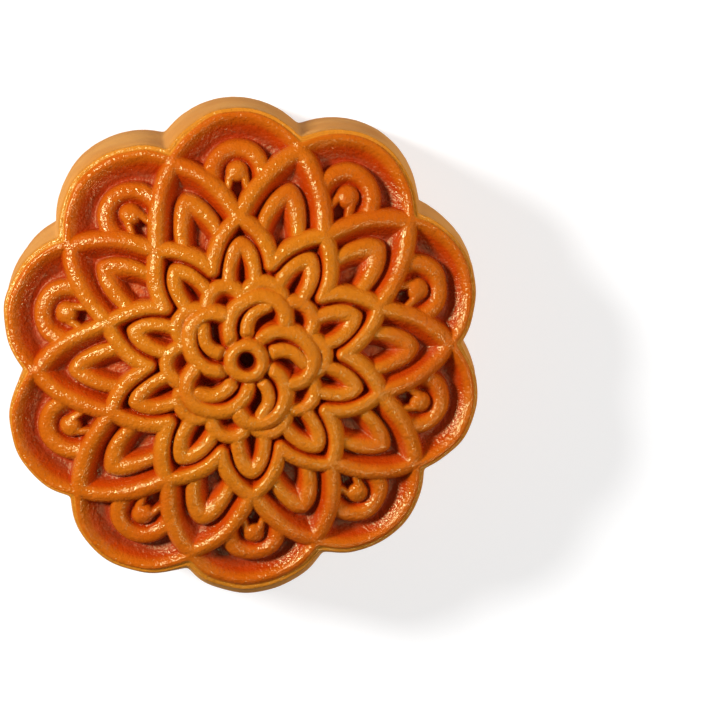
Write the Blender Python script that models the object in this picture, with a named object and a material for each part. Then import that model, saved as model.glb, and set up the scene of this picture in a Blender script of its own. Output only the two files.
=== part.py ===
"""Baked mooncake: one solid round cake with ten scalloped lobes, a domed top pressed with a
flower ornament, a plain side wall and a flat base.  Metres, +Z up, origin at the centre of the base."""

import math

import bmesh
import bpy
import numpy as np

MM = 0.001

# ---- whole cake (millimetres, degrees) ----
LOBES = 10                # scallops round the edge
LOBE_PHASE = 93.3         # direction of the first lobe's axis, anticlockwise from +X
RIM_APEX = 37.6           # centre to the crest of the rim at the middle of a lobe
RIM_NOTCH = 33.0          # centre to the crest of the rim where two lobes meet
CREST_HEIGHT = 34.6       # height of the dome the ridges reach, at the centre
DOME_DROP = 6.5           # how much lower that dome is at the rim

# ---- edge and side wall: step outward from the rim crest, and height below it ----
EDGE_STEPS = ((0.30, 0.10), (0.50, 0.43), (0.62, 0.82), (0.80, 0.88), (1.10, 1.05), (1.26, 1.42), (1.36, 2.80))
WALL_BELLY = 0.3          # how far the wall swells at mid height
WALL_FLARE = 0.95         # how much wider it is at the base than under the edge
BASE_EDGE = 2.6           # radius of the rounded base edge
NOTCH_SOFTEN = 0.7        # degrees over which the crease between two lobes is rounded

# ---- figures of the ornament: height of the crest over the dome, half width of the steep outer
# side, depth and width of the hollow inside ----
RIM = (0.0, 1.1, 3.0, 2.6)
RIM_BEAD, RIM_BEAD_HALF = 0.3, 0.65      # the narrow bead along the rim's crest
MID_ARCH_SHAPE = (-0.55, 1.25, 2.7, 2.3)
SMALL_ARCH_SHAPE = (-0.85, 0.95, 4.2, 0.95)
LARGE_PETAL_SHAPE = (0.12, 1.55, 3.0, 2.3)
LARGE_LEAF_SHAPE = (-0.55, 1.3, 2.2, 2.6)
MEDIUM_PETAL_SHAPE = (0.2, 1.6, 3.1, 1.55)
MEDIUM_LEAF_SHAPE = (-0.25, 1.35, 2.4, 2.3)
SCALLOP_SHAPE = (0.05, 1.35, 2.8, 1.9)
ROSETTE_SHAPE = (0.45, 1.65, 3.8, 1.65)
ROSETTE_INNER_TOP, ROSETTE_INNER_HALF = 0.2, 1.4
MID_CENTRE, MID_RADIUS = 28.6, 4.35      # middle arch of a lobe, on the lobe's axis
BALL_CENTRE, BALL_RADIUS, BALL_TOP = 29.1, 1.9, -0.45     # the knob under the arch
SCALLOP_CENTRE, SCALLOP_RADIUS = 9.5, 3.0
RING_RADIUS, RING_HOLE, RING_HALF, RING_TOP = 2.4, 1.4, 2.1, 0.8

# ---- unevenness of the pressed and baked dough ----
SHIFT_X, SHIFT_Y = 0.64, -0.42   # the ornament's centre sits off the middle of the cake
STRETCH = 0.025                  # the cake is a little longer along one diagonal
PRESSED_LOBE, PRESSED_IN = 270.0, 0.010   # one lobe sits a little further in
# slow change round the cake in millimetres: cosine and sine of 1, 2, 3 ... turns
DRIFT = (-0.21, 0.29, 0.05, 0.01, 0.01, -0.23, -0.19, -0.19)       # rim in and out
SWAY = (-0.27, -0.21, 0.39, 0.20, -0.27, 0.03, -0.01, -0.15)       # rim sideways
WALL_DRIFT = (0.16, -0.39, -0.92, -0.45, 0.44, 0.92)               # foot of the wall in and out
WALL_SWAY = (0.32, 0.24, -0.81, -0.38)                             # foot of the wall sideways
LEAN_X, LEAN_Y = 0.34, -0.10                                       # the foot against the top

# ---- mesh ----
STEPS_ROUND = 600         # columns of the dense top
WALL_EVERY = 6            # the plain wall keeps every sixth column
RINGS_TOP = 190
TRIANGLES = 9400


def bezier(points, count=18):
    p = np.array(points, float)
    t = np.linspace(0, 1, count)[:, None]
    return (1 - t) ** 3 * p[0] + 3 * (1 - t) ** 2 * t * p[1] + 3 * (1 - t) * t ** 2 * p[2] + t ** 3 * p[3]


def arc(centre, radius, start, end, count=16):
    a = np.radians(np.linspace(start, end, count))
    return np.stack([centre + radius * np.cos(a), radius * np.sin(a)], 1)


def spline(points, count=5):
    p = np.array(points, float)
    q = np.vstack([2 * p[0] - p[1], p, 2 * p[-1] - p[-2]])
    out = []
    for i in range(1, len(q) - 2):
        t = np.linspace(0, 1, count, endpoint=(i == len(q) - 3))[:, None]
        a, b, c, d = q[i - 1], q[i], q[i + 1], q[i + 2]
        out.append(0.5 * (2 * b + (c - a) * t + (2 * a - 5 * b + 4 * c - d) * t * t
                          + (3 * b - a - 3 * c + d) * t ** 3))
    return np.vstack(out)


# Crest lines, one half of each figure: along its axis, sideways from it.
LARGE_PETAL = bezier([(32.65, 0.0), (31.0, 2.9), (27.2, 5.6), (21.02, 6.83)])
LARGE_LEAF = bezier([(26.6, 0.0), (26.0, 1.5), (22.8, 3.1), (18.5, 3.1)])
MEDIUM_PETAL = bezier([(22.1, 0.0), (21.0, 2.1), (18.4, 4.0), (14.5, 4.71)])
MEDIUM_LEAF = bezier([(18.2, 0.0), (17.7, 1.3), (15.6, 2.2), (12.4, 2.1)])
MID_ARCH = arc(MID_CENTRE, MID_RADIUS, 0, 150)
SMALL_ARCH = np.array([[28.4, 1.0], [27.2, 1.35], [24.4, 2.4]])
SCALLOP = arc(SCALLOP_CENTRE, SCALLOP_RADIUS, 0, 115)
# One petal of the whirling rosette: its outer edge and the ridge inside it.
ROSETTE_EDGE = spline([(-2.2, 2.6), (-2.85, 4.2), (-2.9, 5.9), (-2.1, 7.8), (-0.4, 9.3), (1.9, 10.0),
                       (4.1, 9.4), (5.5, 7.8), (5.7, 5.9)])
ROSETTE_INNER = spline([(0.2, 3.0), (-0.1, 4.6), (0.15, 6.1), (1.1, 7.5), (3.1, 8.5)])

# A lobe is an arc of a circle through its apex and the two notches beside it.
NOTCH_HALF = math.pi / LOBES
_nu, _nv = RIM_NOTCH * math.cos(NOTCH_HALF), RIM_NOTCH * math.sin(NOTCH_HALF)
LOBE_RADIUS = (_nv ** 2 + (RIM_APEX - _nu) ** 2) / (2 * (RIM_APEX - _nu))
LOBE_CENTRE = RIM_APEX - LOBE_RADIUS


def distance(u, v, line):
    """Distance of every point to a crest line."""
    best = np.full(len(u), 1e9)
    for (ax, ay), (bx, by) in zip(line[:-1], line[1:]):
        ex, ey = bx - ax, by - ay
        t = np.clip(((u - ax) * ex + (v - ay) * ey) / (ex * ex + ey * ey), 0, 1)
        best = np.minimum(best, (u - ax - t * ex) ** 2 + (v - ay - t * ey) ** 2)
    return np.sqrt(best)


def fold(angle, offset):
    """Angle away from the nearest axis of the tenfold pattern."""
    s = 2 * math.pi / LOBES
    return np.abs((angle - offset + s / 2) % s - s / 2)


def ridge(d, half, height):
    """Fat rounded ridge with steep sides and a small fillet at its foot."""
    t = np.clip(d / half, 0, 1)
    skirt = 0.08 * height
    return (height - skirt) * (1 - t ** 2.7) ** (1 / 2.7) + skirt * np.exp(-(d / (half * 1.2)) ** 2)


def soft_step(v, low, high):
    t = np.clip((v - low) / (high - low), 0, 1)
    return t * t * (3 - 2 * t)


def slow_wave(angle, shares):
    """Cosine and sine of 1, 2, 3 ... turns, each with its share."""
    return sum(share * (np.sin if i % 2 else np.cos)((i // 2 + 1) * angle) for i, share in enumerate(shares))


def merge(a, b, soft=0.12):
    """Higher of two surfaces, blended where they meet."""
    m = np.maximum(a, b)
    return m + soft * np.log(np.exp((a - m) / soft) + np.exp((b - m) / soft))


def reach(line, angle):
    """Radius of a figure's outline at an angle from its axis."""
    a, r = np.arctan2(line[:, 1], line[:, 0]), np.hypot(line[:, 0], line[:, 1])
    o = np.argsort(a)
    return np.interp(angle, a[o], r[o])


def lay(h, d, inside, shape, low, deeper=0.0, bend=2.8):
    """Lay a figure over the surface h: it hides what is inside its crest line."""
    top, half, depth, width = shape
    hollow = top - (depth + deeper) * (1 - np.exp(-(d / width) ** bend))
    outer = low + ridge(d, half, top - low)
    return np.where(inside, hollow, merge(h, outer))


def in_leaf(u, v, leaf):
    return (v < np.interp(u, leaf[::-1, 0], leaf[::-1, 1])) & (u < leaf[0, 0])


def relief(x, y):
    """Depth of the pressed ornament below the dome, at points in the undistorted pattern."""
    phase = math.radians(LOBE_PHASE)
    r, a = np.hypot(x, y), np.arctan2(y, x) - phase
    on_lobe, between = fold(a, 0.0), fold(a, NOTCH_HALF)
    lu, lv = r * np.cos(on_lobe), r * np.sin(on_lobe)
    bu, bv = r * np.cos(between), r * np.sin(between)

    # lobes: a rim, the middle arch, and a knob with a slit below it
    inward = LOBE_RADIUS - np.hypot(lu - LOBE_CENTRE, lv)
    h = lay(np.full(len(x), -3.5), np.abs(inward), inward > 0, RIM, -3.5, bend=1.9)
    h += RIM_BEAD * (np.exp(-(inward / RIM_BEAD_HALF) ** 2) - 1)
    in_mid = (np.hypot(lu - MID_CENTRE, lv) < MID_RADIUS) & (r > 20)
    h = lay(h, distance(lu, lv, MID_ARCH), in_mid, MID_ARCH_SHAPE, -3.2)
    h = lay(h, distance(lu, lv, SMALL_ARCH), in_leaf(lu, lv, SMALL_ARCH), SMALL_ARCH_SHAPE, -3.2)
    h = merge(h, -3.4 + ridge(np.hypot(lu - BALL_CENTRE, lv), BALL_RADIUS, BALL_TOP + 3.4))

    # large pointed petals between the lobes, then the medium ones in line with them
    h = lay(h, distance(bu, bv, LARGE_PETAL), r < reach(LARGE_PETAL, between), LARGE_PETAL_SHAPE, -3.3,
            0.7 * soft_step(30.0 - bu, 0.0, 10.0), bend=2.3)
    h = lay(h, distance(bu, bv, LARGE_LEAF), in_leaf(bu, bv, LARGE_LEAF), LARGE_LEAF_SHAPE, -3.4,
            3.4 * soft_step(25.5 - bu, 0.0, 6.5), bend=2.3)
    h = lay(h, distance(lu, lv, MEDIUM_PETAL), r < reach(MEDIUM_PETAL, on_lobe), MEDIUM_PETAL_SHAPE, -3.2,
            0.5 * soft_step(20.0 - lu, 0.0, 6.0), bend=3.4)
    h = lay(h, distance(lu, lv, MEDIUM_LEAF), in_leaf(lu, lv, MEDIUM_LEAF), MEDIUM_LEAF_SHAPE, -3.2,
            3.4 * soft_step(17.3 - lu, 0.0, 3.6), bend=2.6)
    # ring of small scallops
    h = lay(h, distance(bu, bv, SCALLOP), r < reach(SCALLOP, between), SCALLOP_SHAPE, -3.4)

    # whirling rosette of five petals round a ring with a hole
    near = r < 13.5
    nx = x[near] * math.cos(phase) + y[near] * math.sin(phase)
    ny = -x[near] * math.sin(phase) + y[near] * math.cos(phase)
    to_edge, to_inner, extent = np.full(near.sum(), 9.0), np.full(near.sum(), 9.0), np.zeros(near.sum())
    angle = np.arctan2(ny, nx)
    for k in range(5):
        t = math.radians(-72 * k - LOBE_PHASE)
        turn = np.array([[math.cos(t), math.sin(t)], [-math.sin(t), math.cos(t)]])
        edge, inner = ROSETTE_EDGE @ turn, ROSETTE_INNER @ turn
        to_edge = np.minimum(to_edge, distance(nx, ny, edge))
        to_inner = np.minimum(to_inner, distance(nx, ny, inner))
        ea, er = np.unwrap(np.arctan2(edge[:, 1], edge[:, 0])), np.hypot(edge[:, 0], edge[:, 1])
        for s in (-2 * math.pi, 0, 2 * math.pi):
            extent = np.maximum(extent, np.interp(angle + s, ea[::-1], er[::-1], left=0, right=0))
    rn = r[near]
    hn = lay(h[near], to_edge, rn < extent, ROSETTE_SHAPE, -3.2, bend=3.4)
    raised = -3.15 + ridge(to_inner, ROSETTE_INNER_HALF, ROSETTE_INNER_TOP + 3.15)
    hn = np.where(rn < extent, merge(hn, raised), hn)
    in_ring = rn < RING_RADIUS
    ring = -5.0 + ridge(np.abs(rn - RING_RADIUS), np.where(in_ring, RING_HOLE, RING_HALF), RING_TOP + 5.0)
    h[near] = np.where(in_ring, ring, merge(hn, ring))
    return h


def outline(angle, step):
    """Radius of the lobed outline, a given step outside the rim crest."""
    f = fold(angle, math.radians(LOBE_PHASE))
    f = NOTCH_HALF - np.sqrt((NOTCH_HALF - f) ** 2 + math.radians(NOTCH_SOFTEN) ** 2)
    return LOBE_CENTRE * np.cos(f) + np.sqrt((LOBE_RADIUS + step) ** 2 - (LOBE_CENTRE * np.sin(f)) ** 2)


def dome(r):
    return CREST_HEIGHT - DOME_DROP * (r / RIM_APEX) ** 2


def wall_profile():
    """Steps outward from the rim crest and heights (share of the wall, 1 top to 0 base)."""
    out, below = EDGE_STEPS[-1]
    rows = [(s, 'drop', b) for s, b in EDGE_STEPS]
    for f in (0.84, 0.5, 0.16):
        rows.append((out + WALL_BELLY * math.sin(math.pi * f) + WALL_FLARE * (1 - f), 'wall', f))
    for q in (0, 30, 60, 90):
        back = BASE_EDGE * (1 - math.cos(math.radians(q)))
        rows.append((out + WALL_FLARE - back, 'base', BASE_EDGE * (1 - math.sin(math.radians(q)))))
    return rows


def build_body():
    """Wrap a sheet of rings round the axis, then press every ring to its lobed outline and height."""
    rows = wall_profile()
    last_row, wall_row = RINGS_TOP + len(rows) + 1, RINGS_TOP + len(EDGE_STEPS)
    bm = bmesh.new()
    bmesh.ops.create_grid(bm, x_segments=STEPS_ROUND, y_segments=last_row, size=0.5)
    for v in bm.verts:
        column, row = round((v.co.x + 0.5) * STEPS_ROUND), round((v.co.y + 0.5) * last_row)
        if row >= wall_row:
            column = WALL_EVERY * round(column / WALL_EVERY + 0.01)
        turn = 2 * math.pi * column / STEPS_ROUND + math.radians(LOBE_PHASE)
        out = 0.0 if row in (0, last_row) else row + 1.0
        v.co = (out * math.cos(turn), out * math.sin(turn), row)
    bmesh.ops.remove_doubles(bm, verts=bm.verts[:], dist=1e-4)
    mesh = bpy.data.meshes.new("mooncake")
    bm.to_mesh(mesh)
    bm.free()

    co = np.empty(len(mesh.vertices) * 3)
    mesh.vertices.foreach_get("co", co)
    co = co.reshape(-1, 3)
    row = np.rint(co[:, 2]).astype(int)
    angle = np.arctan2(co[:, 1], co[:, 0])
    x, y, z = np.zeros(len(co)), np.zeros(len(co)), np.zeros(len(co))

    # top: rings grow from circles at the centre to the lobed rim
    top = row <= RINGS_TOP
    t = row[top] / RINGS_TOP
    r = t * RIM_APEX + t ** 4 * (outline(angle[top], 0.0) - RIM_APEX)
    x[top], y[top] = r * np.cos(angle[top]), r * np.sin(angle[top])
    z[top] = dome(r) + relief(x[top], y[top])

    # edge, wall and base follow the rim
    for i, (step, kind, value) in enumerate(rows):
        m = row == RINGS_TOP + 1 + i
        r = outline(angle[m], step)
        crest = dome(outline(angle[m], 0.0))
        shoulder, foot = crest - EDGE_STEPS[-1][1], BASE_EDGE
        x[m], y[m] = r * np.cos(angle[m]), r * np.sin(angle[m])
        z[m] = {'drop': crest - value, 'wall': foot + (shoulder - foot) * value if kind == 'wall' else 0,
                'base': np.full(m.sum(), float(value))}[kind]
    # unevenness: off-centre ornament, one longer diagonal, one lobe further in, a foot that drifts
    r, a = np.hypot(x, y), np.arctan2(y, x)
    below = np.where(top, 0.0, dome(np.minimum(r, outline(a, 0.0))) - z)
    foot = 0.5 * np.clip(below / 2.8, 0, 1) + 0.5 * np.clip((below - 2.8) / 23, 0, 1)
    share = np.clip(r / RIM_APEX, 0, 1)
    away = (a - math.radians(PRESSED_LOBE) + math.pi) % (2 * math.pi) - math.pi
    drift = slow_wave(a, DRIFT) + foot * slow_wave(a, WALL_DRIFT)
    sway = slow_wave(a, SWAY) + foot * slow_wave(a, WALL_SWAY)
    r = (r * (1 + STRETCH * np.sin(2 * a) - PRESSED_IN * share ** 4 * np.exp(-(away / math.radians(15)) ** 2))
         + drift * share ** 2)
    a = a + sway * share ** 2 / np.maximum(r, 1.0)
    fade, lean = np.where(top, 1 - share ** 2, 0.0), np.clip(2 * foot - 1, 0, 1)
    x, y = r * np.cos(a) + SHIFT_X * fade + LEAN_X * lean, r * np.sin(a) + SHIFT_Y * fade + LEAN_Y * lean
    x -= (x.max() + x.min()) / 2
    y -= (y.max() + y.min()) / 2

    mesh.vertices.foreach_set("co", np.stack([x, y, z], 1).ravel())
    mesh.vertices.foreach_set("select", row < wall_row)
    mesh.update()
    bm = bmesh.new()
    bm.from_mesh(mesh)
    bmesh.ops.recalc_face_normals(bm, faces=bm.faces[:])
    bmesh.ops.triangulate(bm, faces=bm.faces[:])
    bm.to_mesh(mesh)
    bm.free()
    return mesh


def baked_crust():
    mat = bpy.data.materials.new("baked_crust")
    mat.use_nodes = True
    shader = mat.node_tree.nodes["Principled BSDF"]
    shader.inputs["Base Color"].default_value = (0.60, 0.22, 0.045, 1.0)
    shader.inputs["Roughness"].default_value = 0.38
    mat.diffuse_color = (0.60, 0.22, 0.045, 1.0)
    return mat


for old in list(bpy.data.objects):
    bpy.data.objects.remove(old, do_unlink=True)

body = bpy.data.objects.new("mooncake", build_body())
bpy.context.scene.collection.objects.link(body)

# thin the dense top to facets, keeping its ridges; the wall and base stay as they are
thinned = body.vertex_groups.new(name="thinned")
thinned.add([v.index for v in body.data.vertices if v.select], 1.0, 'REPLACE')
thin = body.modifiers.new("thin", 'DECIMATE')
thin.ratio = TRIANGLES / len(body.data.polygons)
thin.use_collapse_triangulate = True
thin.vertex_group = "thinned"
thin.vertex_group_factor = 1.0
solid = bpy.data.meshes.new_from_object(body.evaluated_get(bpy.context.evaluated_depsgraph_get()))
body.modifiers.clear()
body.vertex_groups.clear()
body.data = solid
solid.name = "mooncake"

# the base stays truly flat; millimetres to metres
pts = np.empty(len(solid.vertices) * 3)
solid.vertices.foreach_get("co", pts)
pts = pts.reshape(-1, 3)
pts[pts[:, 2] < 0.02, 2] = 0.0
solid.vertices.foreach_set("co", (pts * MM).ravel())
solid.materials.clear()
solid.materials.append(baked_crust())
solid.shade_smooth()
solid.update()
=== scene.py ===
import math
import bmesh
import bpy
import numpy as np
from mathutils import Matrix, Vector


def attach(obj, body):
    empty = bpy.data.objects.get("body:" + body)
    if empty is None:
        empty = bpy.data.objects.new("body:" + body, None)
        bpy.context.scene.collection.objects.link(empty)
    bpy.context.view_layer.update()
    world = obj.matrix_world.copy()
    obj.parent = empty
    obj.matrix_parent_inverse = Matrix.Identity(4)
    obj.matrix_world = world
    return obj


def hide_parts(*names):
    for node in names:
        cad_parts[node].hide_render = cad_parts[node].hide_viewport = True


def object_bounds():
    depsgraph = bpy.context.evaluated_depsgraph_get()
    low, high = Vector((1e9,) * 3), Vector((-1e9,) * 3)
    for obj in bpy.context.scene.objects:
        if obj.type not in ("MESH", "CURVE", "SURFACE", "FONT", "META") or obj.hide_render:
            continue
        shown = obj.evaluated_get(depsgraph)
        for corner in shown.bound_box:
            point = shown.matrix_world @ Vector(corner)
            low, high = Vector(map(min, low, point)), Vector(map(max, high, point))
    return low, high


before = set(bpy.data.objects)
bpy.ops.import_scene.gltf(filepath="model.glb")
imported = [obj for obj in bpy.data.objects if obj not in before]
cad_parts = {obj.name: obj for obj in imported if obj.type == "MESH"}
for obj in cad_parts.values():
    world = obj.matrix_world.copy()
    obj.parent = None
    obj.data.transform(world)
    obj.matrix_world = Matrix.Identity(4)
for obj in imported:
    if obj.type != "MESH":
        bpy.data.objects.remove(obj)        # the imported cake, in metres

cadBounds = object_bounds()
mm = 0.001
scene = bpy.context.scene


cake = {
    "lobes": 10, "turn": 93.3,                # scallops round the edge, and where the first one points
    "rimApex": 37.6, "rimNotch": 33.0,        # centre to the rim's crest, mid-lobe and between lobes
    "crestHeight": 34.6, "domeDrop": 6.5,     # the dome that the ridges reach
    "wallBelly": 0.3, "wallFlare": 0.95, "baseEdge": 2.6, "notchSoften": 0.7,
    "topRings": 340, "columns": 1260, "faces": 190000,
}
# the pressed edge: steps outward from the rim's crest, and how far each lies below it
edgeSteps = [(0.15, 0.02), (0.30, 0.10), (0.42, 0.24), (0.50, 0.43), (0.55, 0.64), (0.60, 0.80), (0.67, 0.87),
             (0.80, 0.88), (0.95, 0.93), (1.10, 1.05), (1.22, 1.27), (1.30, 1.60), (1.34, 2.05), (1.36, 2.80)]
# each figure of the ornament: height of its crest over the dome, half width of its steep outer side,
# depth and width of the hollow inside it
figures = {
    "rim":          {"top": 0.0,   "half": 1.1,  "depth": 3.0, "width": 2.6},
    "midArch":      {"top": -0.55, "half": 1.25, "depth": 2.7, "width": 2.3},
    "smallArch":    {"top": -0.85, "half": 0.95, "depth": 4.2, "width": 0.95},
    "largePetal":   {"top": 0.12,  "half": 1.55, "depth": 3.0, "width": 2.3},
    "largeLeaf":    {"top": -0.55, "half": 1.3,  "depth": 2.2, "width": 2.6},
    "mediumPetal":  {"top": 0.2,   "half": 1.6,  "depth": 3.1, "width": 1.55},
    "mediumLeaf":   {"top": -0.25, "half": 1.35, "depth": 2.4, "width": 2.3},
    "scallop":      {"top": -0.1,  "half": 1.35, "depth": 2.8, "width": 1.9},
    "rosette":      {"top": 0.65,  "half": 1.65, "depth": 3.8, "width": 1.65},
    "rosetteInner": {"top": 0.35,  "half": 1.4,  "depth": 3.2, "width": 1.0},
}
places = {
    "midCentre": 28.6, "midRadius": 4.35, "ballCentre": 29.1, "ballRadius": 1.9, "ballTop": -0.45,
    "scallopCentre": 9.5, "scallopRadius": 3.0,
    "ringRadius": 2.4, "ringHole": 1.4, "ringHalf": 1.55, "ringTop": 0.9, "ringFoot": -5.0,
    "petals": 5, "rosetteReach": 13.5,
}
uneven = {
    "shift": (0.64, -0.42),                   # the ornament sits off the middle
    "stretch": 0.025,                         # one diagonal is longer
    "pressedLobe": 270.0, "pressedIn": 0.010,
    # slow in and out, and sideways, drift of the rim round the cake: cosine and sine of 1 to 4 turns
    "drift": (-0.21, 0.29, 0.05, 0.01, 0.01, -0.23, -0.19, -0.19),
    "sway": (-0.27, -0.21, 0.39, 0.20, -0.27, 0.03, -0.01, -0.15),
    # the same for the foot of the wall, over 3 and 2 turns
    "wallDrift": (0.16, -0.39, -0.92, -0.45, 0.44, 0.92), "wallSway": (0.32, 0.24, -0.81, -0.38),
    "lobeBulge": (0.3, 0.3, 0.2, 0.2, -1.2, 0.4, 0.0, 0.0, -0.7, 0.4),    # foot of the wall, lobe by lobe
    "lean": (0.34, -0.10),
    "wobble": 0.14, "wobbleSize": 8.0,        # how far the ridges wander
    "lumps": 0.10, "lumpSize": 6.0,           # rise and fall of the dough
    "grain": 0.022, "grainSize": 1.1,
}


def bezierLine(points, count=22):
    p = np.array(points, float)
    t = np.linspace(0, 1, count)[:, None]
    return (1 - t) ** 3 * p[0] + 3 * (1 - t) ** 2 * t * p[1] + 3 * (1 - t) * t ** 2 * p[2] + t ** 3 * p[3]


def arcLine(centre, radius, start, end, count=20):
    a = np.radians(np.linspace(start, end, count))
    return np.stack([centre + radius * np.cos(a), radius * np.sin(a)], 1)


def smoothLine(points, count=6):
    p = np.array(points, float)
    q = np.vstack([2 * p[0] - p[1], p, 2 * p[-1] - p[-2]])
    parts = []
    for i in range(1, len(q) - 2):
        t = np.linspace(0, 1, count, endpoint=(i == len(q) - 3))[:, None]
        a, b, c, d = q[i - 1], q[i], q[i + 1], q[i + 2]
        parts.append(0.5 * (2 * b + (c - a) * t + (2 * a - 5 * b + 4 * c - d) * t * t
                            + (3 * b - a - 3 * c + d) * t ** 3))
    return np.vstack(parts)


# crest lines of the ornament, one half of each figure: along its axis, sideways from it
largePetal = bezierLine([(32.65, 0.0), (31.0, 2.9), (27.2, 5.6), (21.02, 6.83)])
largeLeaf = bezierLine([(26.6, 0.0), (26.0, 1.5), (22.8, 3.1), (18.5, 3.1)])
mediumPetal = bezierLine([(22.1, 0.0), (21.0, 2.1), (18.4, 4.0), (14.5, 4.71)])
mediumLeaf = bezierLine([(18.2, 0.0), (17.7, 1.3), (15.6, 2.2), (12.4, 2.1)])
midArch = arcLine(places["midCentre"], places["midRadius"], 0, 150)
smallArch = np.array([[28.4, 1.0], [27.2, 1.35], [24.4, 2.4]])
scallop = arcLine(places["scallopCentre"], places["scallopRadius"], 0, 115)
# one petal of the whirling rosette: its outer edge and the ridge inside it
rosetteEdge = smoothLine([(-2.2, 2.6), (-2.85, 4.2), (-2.9, 5.9), (-2.1, 7.8), (-0.4, 9.3), (1.9, 10.0),
                          (4.1, 9.4), (5.5, 7.8), (5.7, 5.9)])
rosetteInner = smoothLine([(0.2, 3.0), (-0.1, 4.6), (0.15, 6.1), (1.1, 7.5), (3.1, 8.5)])

# a lobe is an arc of a circle through its apex and the two notches beside it
notchHalf = math.pi / cake["lobes"]
notchU, notchV = cake["rimNotch"] * math.cos(notchHalf), cake["rimNotch"] * math.sin(notchHalf)
lobeRadius = (notchV ** 2 + (cake["rimApex"] - notchU) ** 2) / (2 * (cake["rimApex"] - notchU))
lobeCentre = cake["rimApex"] - lobeRadius


def softStep(v, low, high):
    t = np.clip((v - low) / (high - low), 0, 1)
    return t * t * (3 - 2 * t)


def distanceTo(u, v, line):
    best = np.full(len(u), 1e9)
    for (ax, ay), (bx, by) in zip(line[:-1], line[1:]):
        ex, ey = bx - ax, by - ay
        t = np.clip(((u - ax) * ex + (v - ay) * ey) / (ex * ex + ey * ey), 0, 1)
        best = np.minimum(best, (u - ax - t * ex) ** 2 + (v - ay - t * ey) ** 2)
    return np.sqrt(best)


def foldAngle(angle, offset):
    s = 2 * math.pi / cake["lobes"]
    return np.abs((angle - offset + s / 2) % s - s / 2)


def ridgeShape(d, half, height):
    # fat rounded ridge with steep sides and a small fillet at its foot
    t = np.clip(d / half, 0, 1)
    skirt = 0.08 * height
    return (height - skirt) * (1 - t ** 2.7) ** (1 / 2.7) + skirt * np.exp(-(d / (half * 1.2)) ** 2)


def hollowShape(d, depth, width, bend):
    # how far the inside of a figure has fallen at a distance from its crest
    return depth * (1 - np.exp(-(d / width) ** bend))


def blendUp(a, b, soft=0.12):
    m = np.maximum(a, b)
    return m + soft * np.log(np.exp((a - m) / soft) + np.exp((b - m) / soft))


def layFigure(surface, d, inside, name, low, deeper=0.0, bend=2.8):
    # a figure hides what lies inside its crest line, and its outer side rises from what lies outside;
    # the other two say whether a point is in a hollow, 1, or on an outer side, 0, and its fall from the crest
    h, within, fall = surface
    f = figures[name]
    hollow = f["top"] - hollowShape(d, f["depth"] + deeper, f["width"], bend)
    outer = low + ridgeShape(d, f["half"], f["top"] - low)
    under = softStep(h - outer, -0.1, 0.25)
    fallen = np.where(inside, f["top"] - hollow, fall * under + (f["top"] - outer) * (1 - under))
    return np.where(inside, hollow, blendUp(h, outer)), np.where(inside, 1.0, within * under), fallen


def addLump(surface, lump, top):
    h, within, fall = surface
    under = softStep(h - lump, -0.1, 0.25)
    return blendUp(h, lump), within * under, fall * under + (top - lump) * (1 - under)


def figureReach(line, angle):
    a, r = np.arctan2(line[:, 1], line[:, 0]), np.hypot(line[:, 0], line[:, 1])
    o = np.argsort(a)
    return np.interp(angle, a[o], r[o])


def inLeaf(u, v, leaf):
    return (v < np.interp(u, leaf[::-1, 0], leaf[::-1, 1])) & (u < leaf[0, 0])


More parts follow.
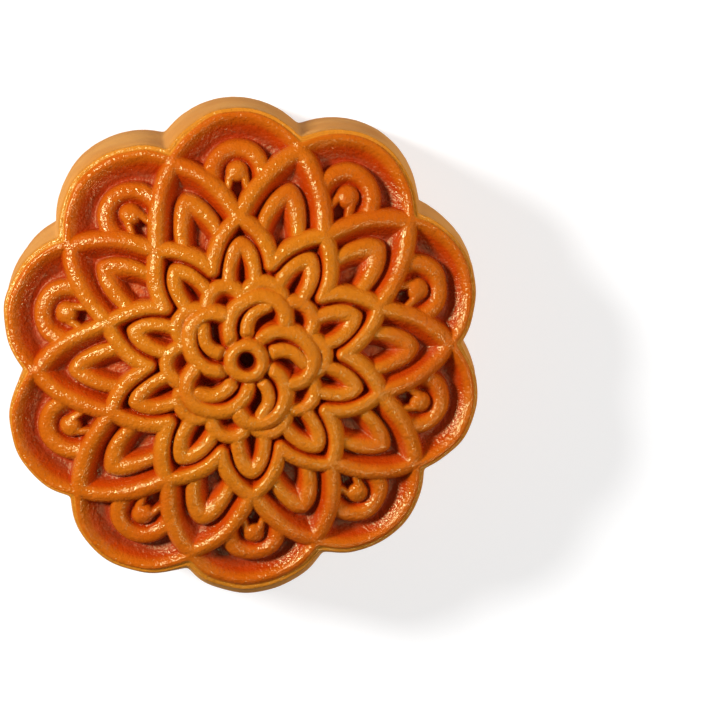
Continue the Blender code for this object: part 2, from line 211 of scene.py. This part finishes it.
def reliefDepth(x, y):
    # how far the pressed top stands over the dome, and what layFigure says of a hollow and of the fall
    phase = math.radians(cake["turn"])
    r, a = np.hypot(x, y), np.arctan2(y, x) - phase
    onLobe, between = foldAngle(a, 0.0), foldAngle(a, notchHalf)
    lu, lv = r * np.cos(onLobe), r * np.sin(onLobe)
    bu, bv = r * np.cos(between), r * np.sin(between)

    # lobes: a rim, the middle arch and the little arch
    inward = lobeRadius - np.hypot(lu - lobeCentre, lv)
    bare = np.full(len(x), -3.5), np.ones(len(x)), np.full(len(x), 3.5)
    h, within, fall = layFigure(bare, np.abs(inward), inward > 0, "rim", -3.5, bend=1.9)
    s = h + 0.4 * (np.exp(-(inward / 0.8) ** 2) - 1), within, fall
    inMid = (np.hypot(lu - places["midCentre"], lv) < places["midRadius"]) & (r > 20)
    s = layFigure(s, distanceTo(lu, lv, midArch), inMid, "midArch", -3.2)
    s = layFigure(s, distanceTo(lu, lv, smallArch), inLeaf(lu, lv, smallArch), "smallArch", -3.2)
    toBall = np.hypot(lu - places["ballCentre"], lv)
    ball = -3.4 + ridgeShape(toBall, places["ballRadius"], places["ballTop"] + 3.4)
    s = addLump(s, ball, places["ballTop"])

    # large pointed petals between the lobes, then the medium ones in line with them
    s = layFigure(s, distanceTo(bu, bv, largePetal), r < figureReach(largePetal, between), "largePetal", -3.3,
                  0.7 * softStep(30.0 - bu, 0.0, 10.0), bend=2.3)
    s = layFigure(s, distanceTo(bu, bv, largeLeaf), inLeaf(bu, bv, largeLeaf), "largeLeaf", -3.4,
                  3.4 * softStep(25.5 - bu, 0.0, 6.5), bend=2.3)
    s = layFigure(s, distanceTo(lu, lv, mediumPetal), r < figureReach(mediumPetal, onLobe), "mediumPetal",
                  -3.2, 0.5 * softStep(20.0 - lu, 0.0, 6.0), bend=3.4)
    s = layFigure(s, distanceTo(lu, lv, mediumLeaf), inLeaf(lu, lv, mediumLeaf), "mediumLeaf", -3.2,
                  3.4 * softStep(17.3 - lu, 0.0, 3.6), bend=2.6)
    # ring of small scallops
    s = layFigure(s, distanceTo(bu, bv, scallop), r < figureReach(scallop, between), "scallop", -3.4)

    # whirling rosette of five petals round a ring with a hole
    near = r < places["rosetteReach"]
    nx = x[near] * math.cos(phase) + y[near] * math.sin(phase)
    ny = -x[near] * math.sin(phase) + y[near] * math.cos(phase)
    toEdge, toInner, extent = np.full(near.sum(), 9.0), np.full(near.sum(), 9.0), np.zeros(near.sum())
    angle = np.arctan2(ny, nx)
    for k in range(places["petals"]):
        t = math.radians(-360 / places["petals"] * k - cake["turn"])
        spin = np.array([[math.cos(t), math.sin(t)], [-math.sin(t), math.cos(t)]])
        edge, inner = rosetteEdge @ spin, rosetteInner @ spin
        toEdge = np.minimum(toEdge, distanceTo(nx, ny, edge))
        toInner = np.minimum(toInner, distanceTo(nx, ny, inner))
        ea, er = np.unwrap(np.arctan2(edge[:, 1], edge[:, 0])), np.hypot(edge[:, 0], edge[:, 1])
        for whole in (-2 * math.pi, 0, 2 * math.pi):
            extent = np.maximum(extent, np.interp(angle + whole, ea[::-1], er[::-1], left=0, right=0))
    rn = r[near]
    core = layFigure(tuple(v[near] for v in s), toEdge, rn < extent, "rosette", -3.2, bend=3.4)
    inner = figures["rosetteInner"]
    raised = np.where(rn < extent, -3.15 + ridgeShape(toInner, inner["half"], inner["top"] + 3.15), -9.0)
    h, within, fall = addLump(core, raised, inner["top"])
    h = h - 0.7 * softStep(4.6 - rn, 0.0, 1.0)           # a dip round the ring
    inRing = rn < places["ringRadius"]
    ringHalf = np.where(inRing, places["ringHole"], places["ringHalf"])
    foot = places["ringFoot"]
    ring = ridgeShape(np.abs(rn - places["ringRadius"]), ringHalf, places["ringTop"] - foot) + foot
    h, within, fall = addLump((h, within, fall), ring, places["ringTop"])
    # the ring's hole counts as a deep hollow, so the crust colour paints it with the shade of the pits
    hole = softStep(places["ringRadius"] - rn, 0.5, 1.2)
    core = np.where(inRing, ring, h), np.where(inRing, hole, within), np.where(inRing, 3.2 * hole, fall)
    for whole, part in zip(s, core):
        whole[near] = part
    return s


def lobedRadius(angle, step):
    f = foldAngle(angle, math.radians(cake["turn"]))
    f = notchHalf - np.sqrt((notchHalf - f) ** 2 + math.radians(cake["notchSoften"]) ** 2)
    return lobeCentre * np.cos(f) + np.sqrt((lobeRadius + step) ** 2 - (lobeCentre * np.sin(f)) ** 2)


def domeHeight(r):
    return cake["crestHeight"] - cake["domeDrop"] * (r / cake["rimApex"]) ** 2


def wander(x, y, size, seed):
    # a smooth rolling pattern between about -1 and 1
    total = np.zeros(len(x))
    for k in range(7):
        turn = seed * 1.7 + k * 2.39996
        wave = 2 * math.pi / (size * (0.75 + 0.13 * k))
        total += np.sin(wave * (x * math.cos(turn) + y * math.sin(turn)) + seed * 3.1 + k * k * 1.3)
    return total / 4.2


def slowWave(angle, shares):
    # cosine and sine of 1, 2, 3 ... turns, each with its share
    return sum(share * (np.sin if i % 2 else np.cos)((i // 2 + 1) * angle) for i, share in enumerate(shares))


def readPoints(mesh):
    co = np.empty(len(mesh.vertices) * 3, dtype=np.float32)
    mesh.vertices.foreach_get("co", co)
    return co.reshape(-1, 3).astype(float)


def pressedSheet():
    # a sheet of rings wrapped round the axis: top, pressed edge, wall, base edge, base
    step, drop = edgeSteps[-1]
    rows = [(s, "edge", d) for s, d in edgeSteps]
    for f in np.linspace(0.96, 0.04, 22):
        belly = cake["wallBelly"] * math.sin(math.pi * f)
        rows.append((step + belly + cake["wallFlare"] * (1 - f), "wall", f))
    for q in np.radians(np.linspace(0, 90, 10)):
        back = cake["baseEdge"] * (1 - math.cos(q))
        rows.append((step + cake["wallFlare"] - back, "base", cake["baseEdge"] * (1 - math.sin(q))))
    baseRings, topRings = 5, cake["topRings"]
    lastRow = topRings + len(rows) + baseRings
    bm = bmesh.new()
    bmesh.ops.create_grid(bm, x_segments=cake["columns"], y_segments=lastRow, size=0.5)
    mesh = bpy.data.meshes.new("mooncakeCrust")
    bm.to_mesh(mesh)
    bm.free()
    co = readPoints(mesh)
    row = np.rint((co[:, 1] + 0.5) * lastRow).astype(int)
    angle = 2 * math.pi * (co[:, 0] + 0.5)
    x, y, z = np.zeros(len(co)), np.zeros(len(co)), np.zeros(len(co))

    top = row <= topRings
    t = row[top] / topRings
    r = t * cake["rimApex"] + t ** 4 * (lobedRadius(angle[top], 0.0) - cake["rimApex"])
    x[top], y[top] = r * np.cos(angle[top]), r * np.sin(angle[top])
    z[top] = domeHeight(r) + reliefDepth(x[top], y[top])[0]
    for i, (out, kind, value) in enumerate(rows):
        m = row == topRings + 1 + i
        r = lobedRadius(angle[m], out)
        crest = domeHeight(lobedRadius(angle[m], 0.0))
        x[m], y[m] = r * np.cos(angle[m]), r * np.sin(angle[m])
        if kind == "edge":
            z[m] = crest - value
        elif kind == "wall":
            z[m] = cake["baseEdge"] + (crest - drop - cake["baseEdge"]) * value
        else:
            z[m] = value
    for i in range(baseRings):
        m = row == topRings + 1 + len(rows) + i
        r = lobedRadius(angle[m], rows[-1][0]) * (1 - (i + 1) / baseRings)
        x[m], y[m] = r * np.cos(angle[m]), r * np.sin(angle[m])
    mesh.vertices.foreach_set("co", np.stack([x, y, z], 1).astype(np.float32).ravel())

    bm = bmesh.new()
    bm.from_mesh(mesh)
    bmesh.ops.remove_doubles(bm, verts=bm.verts[:], dist=1e-4)
    bmesh.ops.recalc_face_normals(bm, faces=bm.faces[:])
    bm.to_mesh(mesh)
    bm.free()
    return mesh


def thinMesh(piece, faces):
    piece.data.calc_loop_triangles()
    thin = piece.modifiers.new("thin", "DECIMATE")
    thin.ratio = faces / len(piece.data.loop_triangles)
    thin.use_collapse_triangulate = True
    dense = piece.data
    piece.data = bpy.data.meshes.new_from_object(piece.evaluated_get(bpy.context.evaluated_depsgraph_get()))
    piece.modifiers.clear()
    bpy.data.meshes.remove(dense)


def paintNumbers(mesh, name, values):
    layer = mesh.attributes.new(name, "FLOAT", "POINT")
    layer.data.foreach_set("value", np.asarray(values, dtype=np.float32))


def fromRim(x, y, z):
    # distance outward from the rim's crest, and depth below the dome
    r, crest = np.hypot(x, y), lobedRadius(np.arctan2(y, x), 0.0)
    return r - crest, domeHeight(np.minimum(r, crest)) - z


def turnFrom(angle, middle):
    # signed turn from a direction given in degrees
    return (angle - math.radians(middle) + math.pi) % (2 * math.pi) - math.pi


def paintPressing(mesh):
    # what the crust's colour follows: depth of the pressing, distance from the middle, the bare side; the
    # depth, the fall from each crest and the creases carry painted shade
    x, y, z = readPoints(mesh).T
    outward, depth = fromRim(x, y, z)
    onTop = (outward < 0) & (z > 15)
    within, grooveShade, fall = np.zeros(len(x)), np.zeros(len(x)), np.zeros(len(x))
    here, within[onTop], fall[onTop] = reliefDepth(x[onTop], y[onTop])
    # a crease lies below the points 1 mm away all round it; creases get painted shade in the crust colour
    turns = [k * math.tau / 6 for k in range(6)]
    near = [reliefDepth(x[onTop] + math.cos(turn), y[onTop] + math.sin(turn))[0] for turn in turns]
    grooveShade[onTop] = np.clip((np.mean(near, axis=0) - here) / 0.8, -1, 1)
    paintNumbers(mesh, "within", within)
    # fall from the crest, which the crust colour turns into painted shade down the sides of the ridges
    paintNumbers(mesh, "fall", np.clip(fall / 3.2, 0, 1.5))
    paintNumbers(mesh, "grooveShade", grooveShade)
    # depth below the dome; the crust colour paints shade from it into the deepest pits
    paintNumbers(mesh, "hollow", np.where(onTop, np.clip(depth / 4.0, -0.2, 1.6), 0.0))
    paintNumbers(mesh, "band", softStep(outward, 0.5, 0.7))
    paintNumbers(mesh, "fromMiddle", np.hypot(x, y) / cake["rimApex"])
    paintNumbers(mesh, "side", softStep(outward, 0.95, 1.25) * softStep(depth, 0.9, 1.7))


def rollDough(mesh):
    x, y, z = readPoints(mesh).T
    outward, depth = fromRim(x, y, z)
    # rolling surface, finest grain last; the base stays flat
    lift = softStep(z, 0.0, 3.0)
    below = np.where((outward > 0) | (z < 5), depth, 0.0)
    foot = 0.5 * np.clip(below / 2.8, 0, 1) + 0.5 * np.clip((below - 2.8) / 23, 0, 1)
    topShare = softStep(z, 20.0, 27.0)
    around = np.arctan2(y, x)
    nx = x + uneven["wobble"] * wander(x, y, uneven["wobbleSize"], 1.0)
    ny = y + uneven["wobble"] * wander(x, y, uneven["wobbleSize"], 2.0)
    x, y = x + (nx - x) * topShare, y + (ny - y) * topShare
    z = z + topShare * (uneven["lumps"] * wander(x, y, uneven["lumpSize"], 3.0)
                        + uneven["grain"] * wander(x, y, uneven["grainSize"], 4.0))
    arcLength = around * cake["rimApex"]
    swell = 1 + lift * (1 - topShare) * (0.0022 * wander(arcLength, z, 11.0, 5.0)
                                         + 0.0006 * wander(arcLength, z, 1.6, 6.0))
    x, y = x * swell, y * swell

    # slow bends of the outline, the wall's foot with its own, and one lobe pressed in
    r, a = np.hypot(x, y), np.arctan2(y, x)
    share = np.clip(r / cake["rimApex"], 0, 1)
    away = turnFrom(a, uneven["pressedLobe"])
    drift = slowWave(a, uneven["drift"]) + foot * slowWave(a, uneven["wallDrift"])
    for k, bulge in enumerate(uneven["lobeBulge"]):
        off = turnFrom(a, cake["turn"] + 360 / cake["lobes"] * k)
        drift += foot * bulge * np.cos(np.clip(off * 2.5, -math.pi / 2, math.pi / 2)) ** 2
    sway = slowWave(a, uneven["sway"]) + foot * slowWave(a, uneven["wallSway"])
    lean = np.clip(2 * foot - 1, 0, 1)
    pressed = uneven["pressedIn"] * share ** 4 * np.exp(-(away / math.radians(15)) ** 2)
    r = r * (1 + uneven["stretch"] * np.sin(2 * a) - pressed) + drift * share ** 2
    a = a + sway * share ** 2 / np.maximum(r, 1.0)
    fade = np.where(z > 15, 1 - share ** 2, 0.0)
    x = r * np.cos(a) + uneven["shift"][0] * fade + uneven["lean"][0] * lean
    y = r * np.sin(a) + uneven["shift"][1] * fade + uneven["lean"][1] * lean
    x -= (x.max() + x.min()) / 2
    y -= (y.max() + y.min()) / 2
    z[z < 0.02] = 0.0
    mesh.vertices.foreach_set("co", (np.stack([x, y, z], 1) * mm).astype(np.float32).ravel())
    mesh.update()


def tone(red, green, blue):
    # a colour as seen on a screen, 0 to 255, turned to the linear values a shader takes
    return tuple((c / 255 / 12.92) if c / 255 <= 0.04045 else ((c / 255 + 0.055) / 1.055) ** 2.4
                 for c in (red, green, blue)) + (1.0,)


class Nodes:
    # short hand for wiring a material
    def __init__(self, material):
        material.use_nodes = True
        self.tree = material.node_tree
        self.shader = self.tree.nodes["Principled BSDF"]

    def add(self, kind, **settings):
        node = self.tree.nodes.new(kind)
        for key, value in settings.items():
            setattr(node, key, value)
        return node

    def put(self, socket, value):
        if isinstance(value, bpy.types.NodeSocket):
            self.tree.links.new(value, socket)
        else:
            socket.default_value = value

    def numbers(self, name):
        return self.add("ShaderNodeAttribute", attribute_name=name).outputs["Fac"]

    def math(self, operation, a, b, clamp=False):
        node = self.add("ShaderNodeMath", operation=operation, use_clamp=clamp)
        self.put(node.inputs[0], a)
        self.put(node.inputs[1], b)
        return node.outputs[0]

    def ramp(self, value, low, high, toLow=0.0, toHigh=1.0):
        node = self.add("ShaderNodeMapRange", interpolation_type="SMOOTHSTEP")
        for socket, v in zip(node.inputs[:5], (value, low, high, toLow, toHigh)):
            self.put(socket, v)
        return node.outputs[0]

    def mix(self, factor, a, b, blend="MIX"):
        node = self.add("ShaderNodeMix", data_type="RGBA", blend_type=blend)
        self.put(node.inputs[0], factor)
        self.put(node.inputs[6], a)
        self.put(node.inputs[7], b)
        return node.outputs[2]

    def noise(self, scale, detail, roughness=0.55):
        node = self.add("ShaderNodeTexNoise")
        self.put(node.inputs["Vector"], self.add("ShaderNodeTexCoord").outputs["Object"])
        node.inputs["Scale"].default_value = scale
        node.inputs["Detail"].default_value = detail
        node.inputs["Roughness"].default_value = roughness
        return node.outputs["Fac"]


crustLook = {
    "crestGold": tone(205, 114, 18), "crestBrown": tone(198, 89, 8),
    # flank tones: painted shade on the sides of the ridges
    "flankShadeGold": tone(200, 90, 8), "flankShadeBrown": tone(188, 72, 5),
    "band": tone(212, 130, 34),
    # slope and floor tones: partly the crust's own deeper browning, partly painted shade
    "slopeGoldAndShade": tone(200, 70, 3), "slopeBrownAndShade": tone(180, 54, 3),
    # pit and deep tones: painted shade in the deepest hollows
    "floor": tone(154, 42, 3), "pitShade": tone(140, 24, 0), "deepShade": tone(64, 5, 0),
    # painted shade in the creases between ridges
    "grooveShade": tone(172, 44, 0),
    "wall": tone(201, 134, 57), "wallBrown": tone(191, 120, 44),
    "glossRoughness": 0.2, "hollowRoughness": 0.48, "wallRoughness": 0.95,
    "specular": 0.52, "specularTint": tone(228, 255, 186),
    "patchScale": 90, "mottleScale": 700, "grainScale": 1700,
    "topMottle": 0.3, "topMottleDark": tone(150, 130, 110),    # share and darkest tone of the fine spots
    "wallMottle": 0.16, "wallMottleDark": tone(150, 120, 90), "mottleLight": tone(255, 255, 255),
    "bumpStrength": 1.0, "bumpDistance": 0.0002, "wallBump": 0.15,
}


def crustMaterial():
    look = crustLook
    material = bpy.data.materials.new("bakedCrust")
    n = Nodes(material)
    hollow, within, fall, band = (n.numbers(name) for name in ("hollow", "within", "fall", "band"))
    fromMiddle, side = n.numbers("fromMiddle"), n.numbers("side")
    patches, mottle = n.noise(look["patchScale"], 2), n.noise(look["mottleScale"], 3)
    grain = n.noise(look["grainScale"], 2, 0.6)

    # browning grows towards the rim and in patches; down each ridge, by its fall from the crest, the colour
    # is painted darker and redder: painted shade, on the slopes and floors partly also the crust's own deeper
    # browning
    bake = n.math("ADD", n.ramp(fromMiddle, 0.35, 0.95), n.ramp(patches, 0.35, 0.7, -0.3, 0.3), clamp=True)
    crest = n.mix(bake, look["crestGold"], look["crestBrown"])
    flankShade = n.mix(bake, look["flankShadeGold"], look["flankShadeBrown"])
    slopeBrowningAndShade = n.mix(bake, look["slopeGoldAndShade"], look["slopeBrownAndShade"])
    outer = n.mix(n.ramp(fall, 0.03, 0.5), crest, flankShade)
    outer = n.mix(n.ramp(fall, 0.5, 1.0), outer, slopeBrowningAndShade)
    outer = n.mix(band, outer, look["band"])
    inner = n.mix(n.ramp(fall, 0.03, 0.35), crest, slopeBrowningAndShade)
    inner = n.mix(n.ramp(fall, 0.35, 0.8), inner, look["floor"])
    # painted shade: the deepest pits and the ring's hole go darker with their depth, down to near black
    inner = n.mix(n.ramp(hollow, 0.75, 1.0), inner, look["pitShade"])
    inner = n.mix(n.ramp(hollow, 0.95, 1.25), inner, look["deepShade"])
    top = n.mix(within, outer, inner)
    # painted shade: darker red-brown in the creases between ridges
    top = n.mix(n.ramp(n.numbers("grooveShade"), 0.3, 1.0), top, look["grooveShade"])
    spots = n.mix(mottle, look["topMottleDark"], look["mottleLight"])
    top = n.mix(look["topMottle"], top, spots, "MULTIPLY")
    wall = n.mix(n.ramp(patches, 0.35, 0.65), look["wall"], look["wallBrown"])
    spots = n.mix(mottle, look["wallMottleDark"], look["mottleLight"])
    wall = n.mix(look["wallMottle"], wall, spots, "MULTIPLY")
    n.put(n.shader.inputs["Base Color"], n.mix(side, top, wall))

    rough = n.math("MAXIMUM", n.ramp(side, 0, 1, look["glossRoughness"], look["wallRoughness"]),
                   n.ramp(hollow, 0.3, 0.8, look["glossRoughness"], look["hollowRoughness"]))
    n.put(n.shader.inputs["Roughness"], n.math("ADD", rough, n.ramp(mottle, 0.3, 0.7, -0.05, 0.08)))
    n.shader.inputs["Specular IOR Level"].default_value = look["specular"]
    n.shader.inputs["Specular Tint"].default_value = look["specularTint"]

    bump = n.add("ShaderNodeBump")
    bump.inputs["Strength"].default_value = look["bumpStrength"]
    bump.inputs["Distance"].default_value = look["bumpDistance"]
    height = n.math("MULTIPLY", n.math("ADD", grain, mottle), n.ramp(side, 0, 1, 1.0, look["wallBump"]))
    n.put(bump.inputs["Height"], height)
    n.put(n.shader.inputs["Normal"], bump.outputs[0])
    return material


crust = bpy.data.objects.new("mooncakeCrust", pressedSheet())
scene.collection.objects.link(crust)
print("pressed", len(crust.data.vertices), "points")
thinMesh(crust, cake["faces"])
paintPressing(crust.data)
rollDough(crust.data)
crust.data.shade_smooth()
crust.data.materials.clear()
crust.data.materials.append(crustMaterial())
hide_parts("mooncake")
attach(crust, "root")
print("crust", len(crust.data.polygons), "faces")


studio = {
    "floor": (0.45, 0.45, 0.45, 1.0), "floorGlow": 0.62, "world": 0.18,
    "key": {"towards": (-0.74, 0.32, 0.66), "distance": 0.9, "size": 0.20, "power": 10.6},
    "side": {"towards": (0.84, 0.26, 0.48), "distance": 0.9, "size": 0.6, "power": 4.5},
    "glint": {"towards": (0.44, -0.42, 0.79), "distance": 0.9, "size": 0.10, "power": 1.7},
}
aim = {
    "tilt": 7.0, "distance": 0.45, "lens": 146.0,
    "place": (0.3431, 0.5121),                # where the cake's middle falls, as shares of the frame
}


def makeFloor():
    bm = bmesh.new()
    bmesh.ops.create_grid(bm, x_segments=1, y_segments=1, size=3.0)
    mesh = bpy.data.meshes.new("floor")
    bm.to_mesh(mesh)
    bm.free()
    pale = bpy.data.materials.new("paleFloor")
    paint = Nodes(pale).shader.inputs
    paint["Base Color"].default_value = studio["floor"]
    paint["Roughness"].default_value = 0.9
    paint["Emission Color"].default_value = (1.0, 1.0, 1.0, 1.0)
    paint["Emission Strength"].default_value = studio["floorGlow"]
    mesh.materials.append(pale)
    floor = bpy.data.objects.new("floor", mesh)
    floor.location.z = cadBounds[0][2] - 0.0002
    scene.collection.objects.link(floor)
    floor.visible_glossy = False


def makeLight(name, spec, centre, gloss=True, diffuse=True):
    data = bpy.data.lights.new(name, "AREA")
    data.shape = "DISK"
    data.size = spec["size"]
    data.energy = spec["power"]
    light = bpy.data.objects.new(name, data)
    way = Vector(spec["towards"]).normalized()
    light.location = centre + way * spec["distance"]
    light.visible_glossy, light.visible_diffuse = gloss, diffuse
    light.rotation_euler = way.to_track_quat("Z", "Y").to_euler()
    scene.collection.objects.link(light)


def makeCamera(centre):
    tilt = math.radians(aim["tilt"])
    data = bpy.data.cameras.new("camera")
    data.sensor_width = 36.0
    data.lens = aim["lens"]
    data.clip_start = 0.01
    camera = bpy.data.objects.new("camera", data)
    # above the cake and a little to its far side, top of the frame towards +Y
    panX, panY = (math.atan((0.5 - share) * data.sensor_width / data.lens) for share in aim["place"])
    look = Matrix.Rotation(-tilt, 4, "X") @ Matrix.Translation((0, 0, aim["distance"]))
    look = look @ Matrix.Rotation(-panX, 4, "Y") @ Matrix.Rotation(-panY, 4, "X")
    camera.matrix_world = Matrix.Translation(centre) @ look
    scene.collection.objects.link(camera)
    scene.camera = camera


crestTop = Vector((0.0, 0.0, cake["crestHeight"] * mm))
makeFloor()
makeLight("keyLight", studio["key"], crestTop)
makeLight("sideLight", studio["side"], crestTop, gloss=False)
makeLight("glintLight", studio["glint"], crestTop, diffuse=False)
makeCamera(crestTop)
world = bpy.data.worlds.new("studio")
world.use_nodes = True
background = world.node_tree.nodes["Background"]
background.inputs["Color"].default_value = (1.0, 1.0, 1.0, 1.0)
background.inputs["Strength"].default_value = studio["world"]
world.cycles_visibility.glossy = False
scene.world = world
scene.view_settings.view_transform = "Standard"
print("stage ready")
